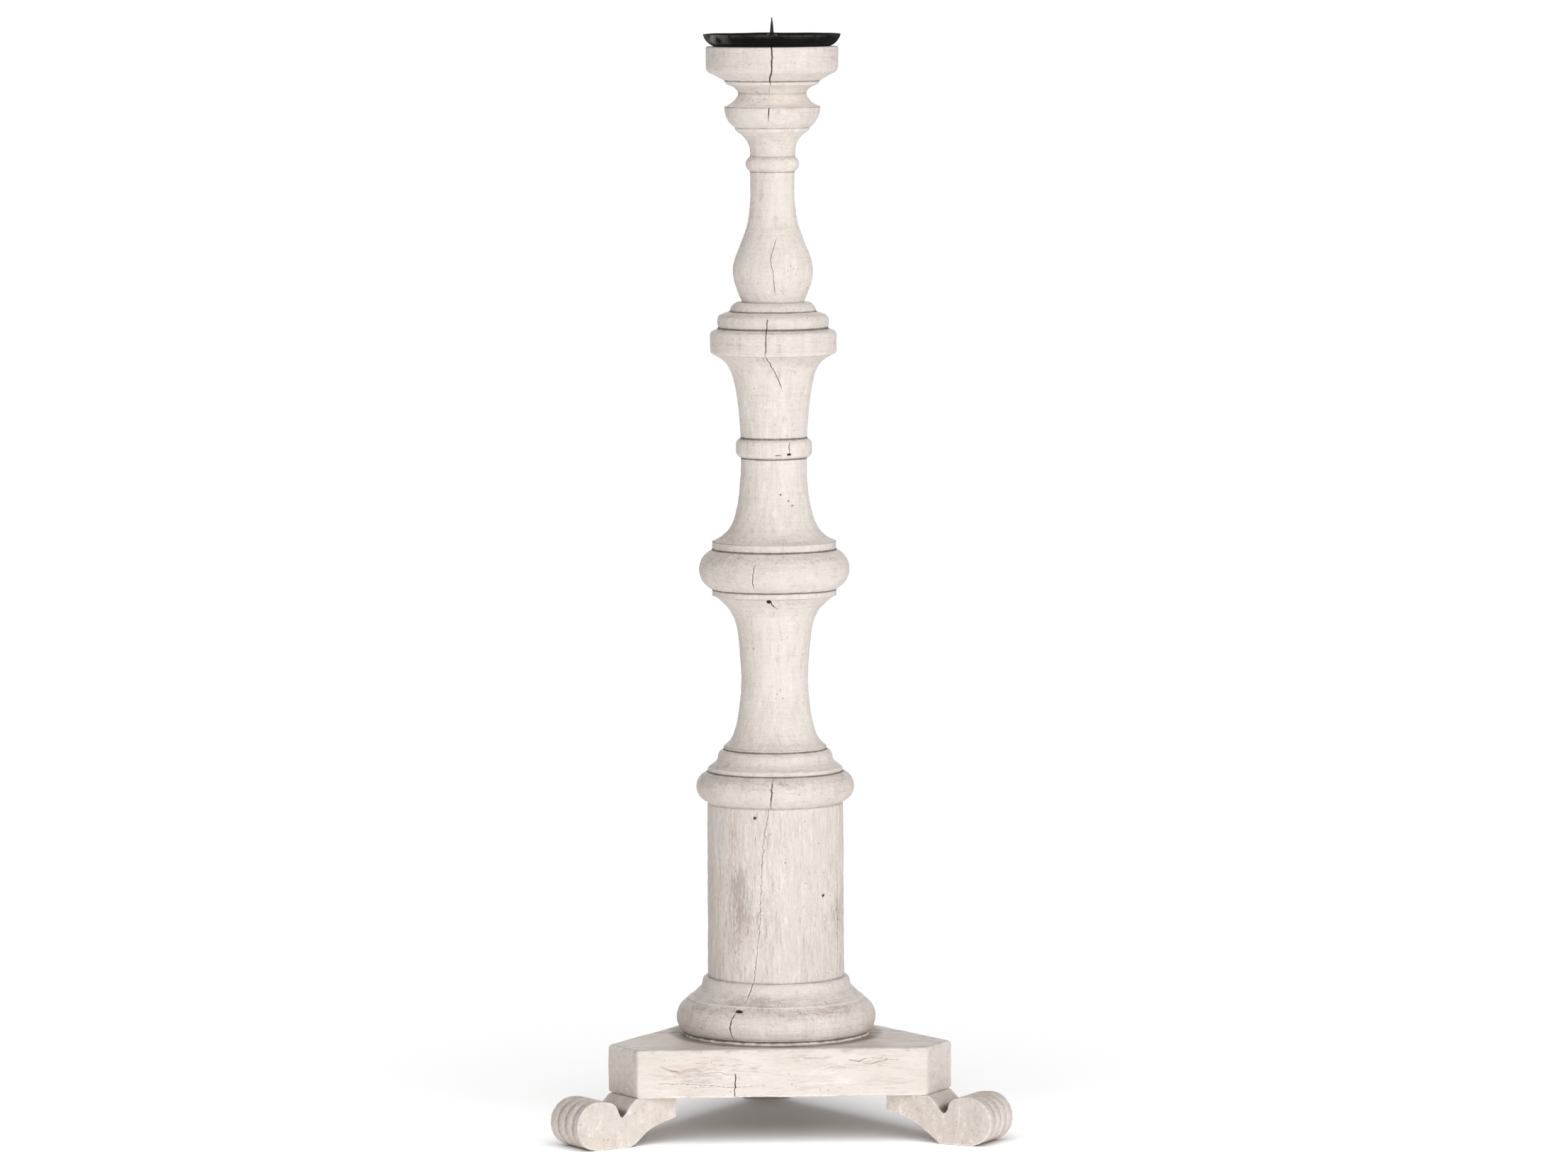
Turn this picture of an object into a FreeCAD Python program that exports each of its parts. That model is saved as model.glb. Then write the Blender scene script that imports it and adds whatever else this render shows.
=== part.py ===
import FreeCAD, Part
import math
import os

# A tall turned wooden pricket candlestick: a stack of turned sections on a three-sided plate
# with three scrolled feet, topped by a sheet-iron drip pan and an iron spike.
# Millimetres. The origin is on the column's axis at floor level, +Z up. The long front side
# of the plate faces -Y and one foot points to +Y.

# Heights of the stacked pieces, from the floor up.
foot_height = 39.5
plate_thickness = 40.0
base_moulding_height = 48.0
drum_height = 144.6
drum_cap_height = 47.0
lower_stem_height = 125.2
middle_knop_height = 44.5
middle_stem_height = 154.5
collar_height = 43.0
vase_height = 119.5
neck_height = 41.0
cup_height = 49.5
overall_height = 920.0

plate_bottom = foot_height
plate_top = plate_bottom + plate_thickness
base_moulding_top = plate_top + base_moulding_height
drum_top = base_moulding_top + drum_height
drum_cap_top = drum_top + drum_cap_height
lower_stem_top = drum_cap_top + lower_stem_height
middle_knop_top = lower_stem_top + middle_knop_height
middle_stem_top = middle_knop_top + middle_stem_height
collar_top = middle_stem_top + collar_height
vase_top = collar_top + vase_height
neck_top = vase_top + neck_height
cup_top = neck_top + cup_height

# The radii that matter most.
cup_radius = 54.6
drum_radius = 56.4
drum_top_radius = 56.1
corner_round = 0.8

# Every turned piece is bored through for the tie rod. It stands on a round spigot that is
# glued in a socket in the piece below.
rod_radius = 4.0
rod_bore_radius = 4.5
spigot_radius = 11.9
spigot_length = 12.0
socket_radius = 12.0
socket_depth = 13.0

# The plate is an equilateral triangle with its corners cut off square to the feet.
plate_side_distance = 94.7
plate_corner_distance = 150.4
plate_edge_round = 1.5
foot_angles = {"foot_left": 210.0, "foot_right": 330.0, "foot_rear": 90.0}
side_angles = (270.0, 30.0, 150.0)

# Hardware: an M8 tie rod with a nut and a washer in a counterbore under the plate, and two
# countersunk wood screws up through each foot.
counterbore_radius = 14.0
counterbore_depth = 14.0
washer_radius = 12.0
washer_thickness = 1.6
nut_across_flats = 13.0
nut_thickness = 6.8
rod_bottom = plate_bottom + 3.5
screw_distances = (119.0, 138.0)
screw_radius = 2.25
screw_head_radius = 4.5
screw_head_height = 3.0
screw_head_top = 27.0
screw_length = 38.0
screw_slot_width = 1.2
screw_slot_depth = 1.0
screw_recess_radius = 5.0

# Feet: the scroll is round about one centre, and its toes are cut round the same centre.
foot_width = 44.0
foot_inner_distance = 112.0
foot_end_height = 24.5
scroll_distance = 187.3
scroll_radius = 20.1
toe_count = 4
toe_groove_radius = 3.2
toe_groove_depth = 2.2

# Drip pan and spike.
pan_base_radius = 46.5
pan_rim_radius = 56.9
pan_height = 10.5
sheet_thickness = 1.2
pad_radius = 12.0
pad_height = 0.8
pan_hole_radius = 4.3
boss_radius = 11.0
boss_top_radius = 7.5
boss_height = 6.6
spike_socket_depth = 6.0

up = FreeCAD.Vector(0, 0, 1)


def at(distance, height):
    return FreeCAD.Vector(distance, 0, height)


def drawn(bottom, start, moves):
    # Draws an outline in the XZ plane as (distance from the axis, height above bottom).
    # A line or arc goes to its last point, and a curve passes smoothly through its points.
    edges = []
    here = at(start[0], bottom + start[1])
    for kind, *stops in moves:
        points = [here] + [at(distance, bottom + height) for distance, height in stops]
        if kind == "line":
            edges.append(Part.LineSegment(points[0], points[1]).toShape())
        elif kind == "arc":
            edges.append(Part.Arc(*points).toShape())
        else:
            spline = Part.BSplineCurve()
            spline.interpolate(points)
            edges.append(spline.toShape())
        here = points[-1]
    return edges


def closed_face(edges, corners):
    # Joins an open outline back to its start by straight lines through the corners.
    start = edges[0].valueAt(edges[0].FirstParameter)
    end = edges[-1].valueAt(edges[-1].LastParameter)
    stops = [end] + list(corners) + [start]
    closing = [Part.LineSegment(a, b).toShape() for a, b in zip(stops, stops[1:])]
    return Part.Face(Part.Wire(edges + closing))


def cylinder(radius, bottom, top, x=0.0, y=0.0):
    return Part.makeCylinder(radius, top - bottom, FreeCAD.Vector(x, y, bottom))


def around(angle, distance):
    turn = math.radians(angle)
    return distance * math.cos(turn), distance * math.sin(turn)


def turned(bottom, top, start, moves, socket=True):
    # A lathe-turned section with a spigot below, the rod bore, and a socket above.
    edges = drawn(bottom, start, moves)
    face = closed_face(edges, [at(0, top), at(0, bottom)])
    body = face.revolve(FreeCAD.Vector(0, 0, 0), up, 360)
    body = body.fuse(cylinder(spigot_radius, bottom - spigot_length, bottom + 1))
    body = body.cut(cylinder(rod_bore_radius, bottom - spigot_length - 1, top + 1))
    if socket:
        body = body.cut(cylinder(socket_radius, top - socket_depth, top + 1))
    return body.removeSplitter()


def candle_cup():
    height = cup_height
    moves = [
        ("curve", (32.7, 3.6), (28.6, 10.6), (31.8, 16.0), (39.0, 19.4)),
        ("line", (39.0, 21.2)),
        ("line", (49.8, 27.2)),
        ("arc", (53.3, 29.3), (cup_radius, 32.2)),
        ("line", (cup_radius, height - corner_round)),
        ("line", (cup_radius - corner_round, height)),
    ]
    return turned(neck_top, cup_top, (39.5, 0), moves, socket=False)


def neck_knop():
    moves = [
        ("line", (19.0, 6.0)),
        ("curve", (20.4, 12.2), (25.0, 17.7), (30.9, 21.9)),
        ("line", (30.9, 23.8)),
        ("curve", (35.2, 27.7), (38.3, 33.0), (39.5, 38.5)),
        ("line", (39.5, neck_height)),
    ]
    return turned(vase_top, neck_top, (18.9, 0), moves)


def vase_stem():
    moves = [
        ("curve", (28.9, 8.3), (32.0, 17.5), (32.9, 26.5), (31.1, 36.0), (25.8, 50.0), (21.1, 64.0),
         (18.9, 78.0), (18.2, 86.0)),
        ("line", (18.2, 107.0)),
        ("line", (18.9, 108.0)),
        ("arc", (22.1, 113.8), (18.9, vase_height)),
    ]
    return turned(collar_top, vase_top, (25.5, 0), moves)


def stepped_collar():
    moves = [
        ("arc", (51.4, 0.9), (52.1, 3.0)),
        ("line", (52.1, 16.6)),
        ("arc", (51.4, 18.6), (49.2, 19.8)),
        ("line", (45.6, 21.2)),
        ("curve", (45.3, 23.0), (46.1, 27.5), (44.8, 31.5), (41.0, 33.6)),
        ("line", (35.4, 35.5)),
        ("arc", (34.4, 39.3), (31.0, 42.3)),
        ("line", (30.2, collar_height)),
    ]
    return turned(middle_stem_top, collar_top, (49.3, 0), moves)


def middle_stem():
    moves = [
        ("curve", (43.5, 3.9), (36.7, 10.9), (32.2, 21.4), (29.2, 36.0), (27.2, 56.0)),
        ("line", (27.2, 69.6)),
        ("arc", (30.2, 71.0), (31.3, 73.8)),
        ("line", (31.3, 80.6)),
        ("arc", (30.3, 83.6), (27.4, 85.2)),
        ("curve", (28.6, 105.0), (30.6, 122.0), (34.4, 139.0), (40.3, 148.6), (48.7, middle_stem_height)),
    ]
    return turned(middle_knop_top, middle_stem_top, (50.8, 0), moves)


def middle_knop():
    moves = [
        ("line", (51.2, 4.8)),
        ("line", (51.8, 5.5)),
        ("arc", (62.2, 21.4), (52.4, 37.2)),
        ("line", (51.1, 37.6)),
        ("line", (51.1, middle_knop_height)),
    ]
    return turned(lower_stem_top, middle_knop_top, (51.2, 0), moves)


def lower_stem():
    moves = [
        ("curve", (36.9, 5.3), (33.2, 13.0), (29.8, 28.0), (27.7, 52.8), (28.9, 77.7), (31.5, 99.7),
         (36.5, 112.2), (43.0, 119.5), (49.8, lower_stem_height)),
    ]
    return turned(drum_cap_top, lower_stem_top, (42.2, 0), moves)


def drum_cap():
    moves = [
        ("line", (56.6, 1.3)),
        ("arc", (65.4, 13.5), (56.6, 25.8)),
        ("line", (55.8, 26.4)),
        ("line", (55.8, 29.3)),
        ("curve", (50.9, 32.6), (48.0, 35.6), (47.3, 38.4)),
        ("arc", (46.3, 41.9), (42.9, 44.3)),
        ("line", (42.3, 44.6)),
        ("line", (42.3, drum_cap_height)),
    ]
    return turned(drum_top, drum_cap_top, (56.0, 0), moves)


def drum():
    moves = [
        ("line", (drum_radius, corner_round)),
        ("line", (drum_top_radius, drum_height - corner_round)),
        ("line", (drum_top_radius - corner_round, drum_height)),
    ]
    return turned(base_moulding_top, drum_top, (drum_radius - corner_round, 0), moves)


def base_moulding():
    moves = [
        ("curve", (80.6, 5.0), (82.5, 14.0), (80.9, 21.5), (77.4, 26.2), (73.0, 29.6)),
        ("line", (71.6, 30.6)),
        ("line", (71.4, 32.0)),
        ("curve", (65.8, 36.3), (62.2, 39.8), (61.2, 43.4)),
        ("arc", (60.5, 46.1), (58.6, base_moulding_height)),
    ]
    return turned(plate_top, base_moulding_top, (76.0, 0), moves)


def plate_outline():
    # Each corner of the outline lies on one long side and one cut-off corner face.
    half_side = (plate_corner_distance - plate_side_distance / 2) / math.cos(math.radians(30))
    points = []
    for angle in side_angles:
        across, along = around(angle, 1.0)
        for sign in (-1, 1):
            x = plate_side_distance * across - sign * half_side * along
            y = plate_side_distance * along + sign * half_side * across
            points.append(FreeCAD.Vector(x, y, plate_bottom))
    return Part.Face(Part.makePolygon(points + points[:1]))


def screw_places():
    for angle in foot_angles.values():
        for distance in screw_distances:
            yield around(angle, distance)


def base_plate():
    plate = plate_outline().extrude(up * plate_thickness)
    plate = plate.makeFillet(plate_edge_round, plate.Edges)
    plate = plate.cut(cylinder(rod_bore_radius, plate_bottom - 1, plate_top + 1))
    plate = plate.cut(cylinder(socket_radius, plate_top - socket_depth, plate_top + 1))
    plate = plate.cut(cylinder(counterbore_radius, plate_bottom - 1, plate_bottom + counterbore_depth))
    pilot_top = screw_head_top - screw_head_height + screw_length
    for x, y in screw_places():
        plate = plate.cut(cylinder(screw_radius, plate_bottom - 1, pilot_top, x, y))
    return plate


def toe_grooves():
    # Round grooves that run over the scroll's outer end, between the toes.
    ring = scroll_radius + toe_groove_radius - toe_groove_depth
    spacing = foot_width / toe_count
    along = FreeCAD.Vector(0, 1, 0)
    grooves = []
    for index in range(1, toe_count):
        centre = FreeCAD.Vector(scroll_distance, index * spacing - foot_width / 2, scroll_radius)
        grooves.append(Part.makeTorus(ring, toe_groove_radius, centre, along))
    return grooves


def foot(angle):
    # Side view, outwards along X: block under the plate, arch, flat sole, scroll, notch, neck.
    top = 2 * scroll_radius
    moves = [
        ("line", (foot_inner_distance, foot_end_height)),
        ("curve", (127.0, 21.0), (138.5, 16.2), (152.0, 6.6), (160.5, 0)),
        ("line", (scroll_distance, 0)),
        ("arc", (scroll_distance + scroll_radius, scroll_radius), (scroll_distance, top)),
        ("curve", (179.0, 39.5), (170.5, 36.0), (165.0, 25.5)),
        ("line", (plate_corner_distance, foot_height)),
    ]
    edges = drawn(0, (foot_inner_distance, foot_height), moves)
    face = closed_face(edges, [])
    face.translate(FreeCAD.Vector(0, -foot_width / 2, 0))
    body = face.extrude(FreeCAD.Vector(0, foot_width, 0))
    outer_half = Part.makeBox(
        scroll_radius * 2, foot_width, top, FreeCAD.Vector(scroll_distance + 2, -foot_width / 2, 0)
    )
    for groove in toe_grooves():
        body = body.cut(groove.common(outer_half))
    for distance in screw_distances:
        body = body.cut(cylinder(screw_radius, 0, foot_height + 1, distance))
        body = body.cut(cylinder(screw_recess_radius, 0, screw_head_top - screw_head_height, distance))
        body = body.cut(screw_head(distance))
    body.rotate(FreeCAD.Vector(0, 0, 0), up, angle)
    return body


def screw_head(distance):
    base = FreeCAD.Vector(distance, 0, screw_head_top - screw_head_height)
    return Part.makeCone(screw_head_radius, screw_radius, screw_head_height, base)


def foot_screws():
    screws = []
    head_bottom = screw_head_top - screw_head_height
    for angle in foot_angles.values():
        for distance in screw_distances:
            shank = cylinder(screw_radius, screw_head_top, head_bottom + screw_length, distance)
            slot_corner = FreeCAD.Vector(
                distance - screw_head_radius, -screw_slot_width / 2, head_bottom
            )
            slot = Part.makeBox(2 * screw_head_radius, screw_slot_width, screw_slot_depth, slot_corner)
            screw = screw_head(distance).cut(slot).fuse(shank).removeSplitter()
            screw.rotate(FreeCAD.Vector(0, 0, 0), up, angle)
            screws.append(screw)
    return Part.makeCompound(screws)


def drip_pan():
    # Sheet iron: a flat floor with a pressed-up pad in the middle, and a flared wall.
    t = sheet_thickness
    moves = [
        ("line", (pad_radius, 0)),
        ("line", (pan_base_radius, 0)),
        ("arc", (53.4, 3.6), (pan_rim_radius, pan_height)),
        ("line", (pan_rim_radius - t, pan_height)),
        ("arc", (52.4, 4.5), (pan_base_radius - 0.6, t)),
        ("line", (pad_radius, t)),
        ("line", (pad_radius, t + pad_height)),
        ("line", (pan_hole_radius, t + pad_height)),
        ("line", (pan_hole_radius, pad_height)),
    ]
    edges = drawn(cup_top, (pad_radius - t, pad_height), moves)
    face = closed_face(edges, [])
    return face.revolve(FreeCAD.Vector(0, 0, 0), up, 360)


def pricket_spike():
    # A round boss threaded on the end of the tie rod, drawn out to a needle point.
    bottom = cup_top + sheet_thickness + pad_height
    height = overall_height - bottom
    moves = [
        ("line", (boss_radius, 2.0)),
        ("line", (boss_top_radius, boss_height)),
        ("curve", (3.2, boss_height + 1.2), (1.5, boss_height + 3.2)),
        ("line", (0.35, height)),
        ("line", (0, height)),
    ]
    edges = drawn(bottom, (boss_radius, 0), moves)
    spike = closed_face(edges, [at(0, bottom)]).revolve(FreeCAD.Vector(0, 0, 0), up, 360)
    return spike.cut(cylinder(rod_radius, bottom - 1, bottom + spike_socket_depth))


def tie_rod():
    top = cup_top + sheet_thickness + pad_height + spike_socket_depth
    return cylinder(rod_radius, rod_bottom, top)


def rod_washer():
    top = plate_bottom + counterbore_depth
    washer = cylinder(washer_radius, top - washer_thickness, top)
    return washer.cut(cylinder(rod_bore_radius, top - washer_thickness - 1, top + 1))


def rod_nut():
    top = plate_bottom + counterbore_depth - washer_thickness
    bottom = top - nut_thickness
    corner_distance = nut_across_flats / 2 / math.cos(math.radians(30))
    corners = [FreeCAD.Vector(*around(60 * index, corner_distance), bottom) for index in range(7)]
    nut = Part.Face(Part.makePolygon(corners)).extrude(up * nut_thickness)
    return nut.cut(cylinder(rod_radius, bottom - 1, top + 1))


pieces = {
    "drip_pan": drip_pan(),
    "pricket_spike": pricket_spike(),
    "candle_cup": candle_cup(),
    "neck_knop": neck_knop(),
    "vase_stem": vase_stem(),
    "stepped_collar": stepped_collar(),
    "middle_stem": middle_stem(),
    "middle_knop": middle_knop(),
    "lower_stem": lower_stem(),
    "drum_cap": drum_cap(),
    "drum": drum(),
    "base_moulding": base_moulding(),
    "base_plate": base_plate(),
    "tie_rod": tie_rod(),
    "rod_washer": rod_washer(),
    "rod_nut": rod_nut(),
    "foot_screws": foot_screws(),
}
for name, angle in foot_angles.items():
    pieces[name] = foot(angle)

os.makedirs("parts", exist_ok=True)
for name, shape in pieces.items():
    shape.exportStep(f"parts/{name}.step")
    print(name, shape.isValid(), len(shape.Solids), round(shape.Volume / 1000, 2), "cm3")
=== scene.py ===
import math
import random
import bmesh
import bpy
from mathutils import Matrix, Vector, geometry, noise
from mathutils.kdtree import KDTree


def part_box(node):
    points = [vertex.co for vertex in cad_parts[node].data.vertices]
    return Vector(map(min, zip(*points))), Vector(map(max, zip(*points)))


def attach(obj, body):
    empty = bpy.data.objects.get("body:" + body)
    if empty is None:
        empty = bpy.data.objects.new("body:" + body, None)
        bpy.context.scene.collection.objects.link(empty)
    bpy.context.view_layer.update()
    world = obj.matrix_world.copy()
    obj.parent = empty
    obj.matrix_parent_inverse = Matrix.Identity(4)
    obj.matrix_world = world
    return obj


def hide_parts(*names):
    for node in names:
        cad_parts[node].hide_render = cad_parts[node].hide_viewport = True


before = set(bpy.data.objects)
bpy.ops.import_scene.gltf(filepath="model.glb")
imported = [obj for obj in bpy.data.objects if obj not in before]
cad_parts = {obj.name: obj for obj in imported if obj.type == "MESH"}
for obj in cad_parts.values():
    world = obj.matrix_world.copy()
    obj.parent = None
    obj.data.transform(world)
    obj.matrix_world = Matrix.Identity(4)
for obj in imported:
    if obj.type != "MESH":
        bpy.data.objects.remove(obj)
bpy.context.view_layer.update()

# A turned and painted wooden candlestick. Outlines and marks are in mm, and each finished
# piece is scaled to metres. The column's axis is Z and the floor is Z = 0.
mm = 0.001
print("frame loaded")

viewing = {
    "azimuth": -3.0, "distance": 6.45, "height": 1.0208, "aimHeight": 0.4498, "aimSide": 0.008,
    "roll": -0.25, "lens": 180.0, "sensor": 36.0,
}
frontTurn = math.radians(viewing["azimuth"])
frontWay = Vector((math.sin(frontTurn), -math.cos(frontTurn), 0))
rightWay = Vector((math.cos(frontTurn), math.sin(frontTurn), 0))


# drawing outlines

def at(distance, height):
    return Vector((distance, 0, height))


def arcThrough(a, b, c, count=24):
    ab, ac = b - a, c - a
    cross = 2 * (ab.x * ac.z - ab.z * ac.x)
    centre = a + at(
        (ac.z * ab.length_squared - ab.z * ac.length_squared) / cross,
        (ab.x * ac.length_squared - ac.x * ab.length_squared) / cross,
    )
    spokes = [p - centre for p in (a, b, c)]
    sweep = sum(
        math.atan2(p.z * q.x - p.x * q.z, p.x * q.x + p.z * q.z)
        for p, q in zip(spokes, spokes[1:])
    )
    return [
        centre + Matrix.Rotation(sweep * i / count, 3, "Y") @ spokes[0] for i in range(count + 1)
    ]


def smoothThrough(points):
    ends = [2 * points[0] - points[1]] + points + [2 * points[-1] - points[-2]]
    curve = [points[0]]
    for before, a, b, after in zip(ends, ends[1:], ends[2:], ends[3:]):
        handleA = a + (b - before) / 6
        handleB = b - (after - a) / 6
        curve += geometry.interpolate_bezier(a, handleA, handleB, b, 16)[1:]
    return curve


def spaced(points, step):
    # the same line with its points an even step apart
    lengths = [0.0]
    for a, b in zip(points, points[1:]):
        lengths.append(lengths[-1] + (b - a).length)
    count = max(1, round(lengths[-1] / step))
    line = [points[0]]
    leg = 0
    for i in range(1, count):
        wanted = lengths[-1] * i / count
        while lengths[leg + 1] < wanted:
            leg += 1
        share = (wanted - lengths[leg]) / (lengths[leg + 1] - lengths[leg])
        line.append(points[leg].lerp(points[leg + 1], share))
    return line + [points[-1]]


def traceOutline(start, moves, step):
    line = [at(*start)]
    for kind, *stops in moves:
        points = [line[-1]] + [at(*stop) for stop in stops]
        if kind == "arc":
            points = arcThrough(*points)
        elif kind == "curve":
            points = smoothThrough(points)
        line += spaced(points, step)[1:]
    return line


def soften(points, passes):
    # rounds the corners of an open line, as paint and handling do
    for _ in range(passes):
        inner = [(a + 2 * b + c) / 4 for a, b, c in zip(points, points[1:], points[2:])]
        points = [points[0]] + inner + [points[-1]]
    return points


def smoothStep(low, high, value):
    share = min(1.0, max(0.0, (value - low) / (high - low)))
    return share * share * (3 - 2 * share)


# wear on the meshes

maskNames = ("edge", "hollow", "ledge", "crack", "stain")


def patch(place, height, wide, tall, amount):
    # a worn or stained area, placed in degrees on a turned piece and in mm on a flat one
    return {"place": place, "height": height, "wide": wide, "tall": tall, "amount": amount}


def hole(side, height, wide, tall, depth, dark=1.0):
    return {"side": side, "height": height, "wide": wide, "tall": tall, "depth": depth, "dark": dark}


def crackAlong(path, width, depth, **more):
    return {"path": path, "width": width, "depth": depth, **more}


def uneven(place, layers):
    # soft lumps and hollows: each layer is how fine it is, per mm, and how far it reaches
    return sum(reach * noise.noise(place * fineness) for fineness, reach in layers)


def addMasks(bm):
    return {name: bm.verts.layers.float.new(name) for name in maskNames}


def prepare(cracks):
    # adds the box around each crack's path, to pass over the points that are far from it
    ready = []
    for crack in cracks:
        sides = [side for side, height in crack["path"]]
        heights = [height for side, height in crack["path"]]
        margin = 2 * crack["width"] + 2.5
        box = (min(sides) - margin, max(sides) + margin, min(heights) - margin, max(heights) + margin)
        ready.append({**crack, "box": box})
    return ready


def crackAt(crack, side, height):
    # 0 away from the crack to 1 in its middle, and -0.5 to 0 on its raised lips
    left, right, low, high = crack["box"]
    if not (left < side < right and low < height < high):
        return 0.0
    bend = noise.noise_vector(Vector((side * 0.16, height * 0.3, crack["width"] * 40)))
    fine = noise.noise_vector(Vector((side * 0.6, height * 0.9, crack["width"] * 70)))
    point = Vector((side, height)) + crack.get("wander", 0.6) * (bend.xy + 0.4 * fine.xy)
    path = [Vector(stop) for stop in crack["path"]]
    away, along, length = math.inf, 0.0, 0.0
    for a, b in zip(path, path[1:]):
        leg = b - a
        share = min(1.0, max(0.0, (point - a).dot(leg) / leg.length_squared))
        gap = (point - a - share * leg).length
        if gap < away:
            away, along = gap, length + share * leg.length
        length += leg.length
    taper = min(1.0, along / 4 + crack.get("openTop", 0.2), (length - along) / 7 + 0.1)
    half = crack["width"] / 2 * (0.5 + 0.5 * taper)
    if away < half:
        return (1 - away / half) * (0.35 + 0.65 * taper)
    if away < 3 * half:
        return -0.5 * math.sin((away - half) / half * math.pi / 2) * taper
    return 0.0


def refineNear(bm, cracks, where, cuts):
    # smaller faces along the cracks, so that they are cut cleanly
    for crack in cracks:
        wide = {**crack, "width": 3 * crack["width"] + 1.5, "openTop": 1.0}

        def near(v):
            side, height, facing = where(v.co)
            return facing > 0 and crackAt(wide, side, height) > 0

        close = {v for v in bm.verts if near(v)}
        edges = [e for e in bm.edges if e.verts[0] in close and e.verts[1] in close]
        bmesh.ops.subdivide_edges(bm, edges=edges, cuts=cuts, use_grid_fill=True)


def cutCracks(cracks, side, height):
    # how deep the cracks cut, how dark they are and how far their lips stand out
    deep, dark, lip = 0.0, 0.0, 0.0
    for crack in cracks:
        found = crackAt(crack, side, height)
        if found > 0:
            deep = max(deep, crack["depth"] * found)
            dark = max(dark, found * crack.get("dark", 1.0))
        elif found < 0:
            lip = max(lip, -2 * found * crack.get("lip", 0.12))
    return deep, dark, lip


def dentBy(side, height, spots):
    # how deep and dark the pits, chips and nail holes are at a place
    depth, dark = 0.0, 0.0
    for spot in spots:
        across = (side - spot["side"]) / spot["wide"]
        along = (height - spot["height"]) / spot["tall"]
        away = across * across + along * along
        if away < 1:
            depth = max(depth, spot["depth"] * (1 - away))
            dark = max(dark, spot["dark"] * min(1.0, 1.6 * (1 - away)))
    return depth, dark


def stainBy(place, height, stains):
    amount = 0.0
    for stain in stains:
        turn = (place - stain["place"] + 180) % 360 - 180
        across = turn / stain["wide"]
        along = (height - stain["height"]) / stain["tall"]
        away = across * across + along * along
        if away < 6:
            amount += stain["amount"] * math.exp(-away)
    return amount


def scatterStains(seed, height, count):
    # stains for the sides and back, in degrees round from the front
    rng = random.Random(seed)
    return [
        patch(
            rng.uniform(65, 295), rng.uniform(0, height), rng.uniform(9, 26),
            rng.uniform(0.12, 0.4) * height, rng.uniform(0.35, 1.0),
        )
        for _ in range(count)
    ]


def backCracks(seed, height, radius, count):
    # cracks away from the front, with their sides measured round the piece
    rng = random.Random(seed)
    cracks = []
    for _ in range(count):
        side = math.radians(rng.uniform(55, 305)) * radius
        top = rng.uniform(0.5, 1.0) * height
        bottom = max(0.0, top - rng.uniform(0.35, 0.8) * height)
        drift = rng.uniform(-5, 5)
        path = [(side, top), (side + drift * 0.4, (top + bottom) / 2), (side + drift, bottom)]
        cracks.append(crackAlong(path, rng.uniform(0.8, 1.2), 1.0, wander=0.8))
    return prepare(cracks)


# shared shading

def addNode(tree, kind, inputs=None, **settings):
    node = tree.nodes.new(kind)
    for name, value in settings.items():
        setattr(node, name, value)
    for name, value in (inputs or {}).items():
        if isinstance(value, bpy.types.NodeSocket):
            tree.links.new(value, node.inputs[name])
        else:
            node.inputs[name].default_value = value
    return node


def startGroup(name, inputs, outputs):
    group = bpy.data.node_groups.new(name, "ShaderNodeTree")
    for socketName, kind, value in inputs:
        socket = group.interface.new_socket(socketName, in_out="INPUT", socket_type=kind)
        if value is not None:
            socket.default_value = value
    for socketName in outputs:
        group.interface.new_socket(socketName, in_out="OUTPUT", socket_type="NodeSocketFloat")
    return group, group.nodes.new("NodeGroupInput"), group.nodes.new("NodeGroupOutput")


def finishGroup(group, made, values):
    for name, value in values.items():
        group.links.new(value, made.inputs[name])
    return group


def useGroup(tree, group, inputs):
    return addNode(tree, "ShaderNodeGroup", inputs, node_tree=group)


def combine(tree, operation, a, b):
    return addNode(tree, "ShaderNodeMath", {0: a, 1: b}, operation=operation).outputs[0]


def times(tree, a, b):
    return combine(tree, "MULTIPLY", a, b)


def plus(tree, *values):
    total = values[0]
    for value in values[1:]:
        total = combine(tree, "ADD", total, value)
    return total


def ramp(tree, value, low, high, start=0.0, end=1.0):
    node = addNode(
        tree, "ShaderNodeMapRange",
        {"Value": value, "From Min": low, "From Max": high, "To Min": start, "To Max": end},
        interpolation_type="SMOOTHSTEP",
    )
    return node.outputs["Result"]


def blend(tree, share, a, b):
    node = addNode(tree, "ShaderNodeMix", {0: share, 6: a, 7: b}, data_type="RGBA")
    return node.outputs[2]


def noiseOn(tree, vector, scale, detail=3.0, roughness=0.55, distortion=0.0):
    node = addNode(
        tree, "ShaderNodeTexNoise",
        {"Vector": vector, "Scale": scale, "Detail": detail, "Roughness": roughness,
         "Distortion": distortion},
    )
    return node.outputs["Fac"]


def stretched(tree, vector, scale):
    return addNode(tree, "ShaderNodeMapping", {"Vector": vector, "Scale": scale}).outputs["Vector"]


vectorInput = ("Vector", "NodeSocketVector", None)


def makeBrushGroup():
    # long strokes and fine hairs: Scale is per mm, and small along the strokes
    group, given, made = startGroup(
        "brushStrokes", [vectorInput, ("Scale", "NodeSocketVector", (0.6, 0.6, 0.04))],
        ("Strokes", "Hairs", "Height"),
    )
    lined = addNode(
        group, "ShaderNodeVectorMath", {0: given.outputs["Vector"], 1: given.outputs["Scale"]},
        operation="MULTIPLY",
    ).outputs["Vector"]
    strokes = noiseOn(group, lined, 0.42, 5.0, 0.64, 0.3)
    hairs = noiseOn(group, lined, 1.7, 4.0, 0.68, 0.2)
    height = plus(group, times(group, strokes, 0.6), times(group, hairs, 0.4))
    return finishGroup(group, made, {"Strokes": strokes, "Hairs": hairs, "Height": height})


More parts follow.
